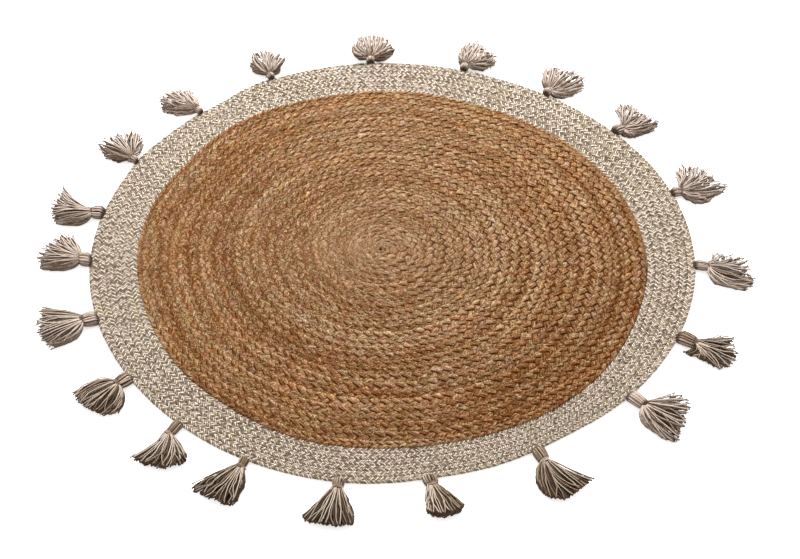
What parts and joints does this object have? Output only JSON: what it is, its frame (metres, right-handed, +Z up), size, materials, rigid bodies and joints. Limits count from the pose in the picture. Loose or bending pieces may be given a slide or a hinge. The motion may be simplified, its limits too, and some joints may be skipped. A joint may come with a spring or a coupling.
{
  "type": "round jute rug",
  "caption": "Flat round rug of spiral jute braid with a marled braid border and yarn tassels sewn round its edge.",
  "frame": {"origin": "on the floor under the middle of the rug's outline", "axes": "+Z up out of the floor, +Y away from the side that faces the viewer in the picture, +X to that viewer's right"},
  "size_m": [1.4233, 1.4159, 0.0298],
  "materials": {
    "jute_braid": "warm golden-brown jute fibre, slightly glossy, with darker and paler strands",
    "marl_braid": "matt braid of cream and taupe yarns",
    "tassel_yarn": "matt plied yarn, cream and grey-taupe",
    "tie_yarn": "matt pale binding yarn"
  },
  "bodies": {
    "root": {"jute_centre": "jute_braid", "marl_border": "marl_braid", "tassel_01": "tassel_yarn", "tassel_tie_01": "tie_yarn", "tassel_02": "tassel_yarn", "tassel_tie_02": "tie_yarn", "tassel_03": "tassel_yarn", "tassel_tie_03": "tie_yarn", "tassel_04": "tassel_yarn", "tassel_tie_04": "tie_yarn", "tassel_05": "tassel_yarn", "tassel_tie_05": "tie_yarn", "tassel_06": "tassel_yarn", "tassel_tie_06": "tie_yarn", "tassel_07": "tassel_yarn", "tassel_tie_07": "tie_yarn", "tassel_08": "tassel_yarn", "tassel_tie_08": "tie_yarn", "tassel_09": "tassel_yarn", "tassel_tie_09": "tie_yarn", "tassel_10": "tassel_yarn", "tassel_tie_10": "tie_yarn", "tassel_11": "tassel_yarn", "tassel_tie_11": "tie_yarn", "tassel_12": "tassel_yarn", "tassel_tie_12": "tie_yarn", "tassel_13": "tassel_yarn", "tassel_tie_13": "tie_yarn", "tassel_14": "tassel_yarn", "tassel_tie_14": "tie_yarn", "tassel_15": "tassel_yarn", "tassel_tie_15": "tie_yarn", "tassel_16": "tassel_yarn", "tassel_tie_16": "tie_yarn", "tassel_17": "tassel_yarn", "tassel_tie_17": "tie_yarn", "tassel_18": "tassel_yarn", "tassel_tie_18": "tie_yarn", "tassel_19": "tassel_yarn", "tassel_tie_19": "tie_yarn", "tassel_20": "tassel_yarn", "tassel_tie_20": "tie_yarn"}
  },
  "joints": []
}
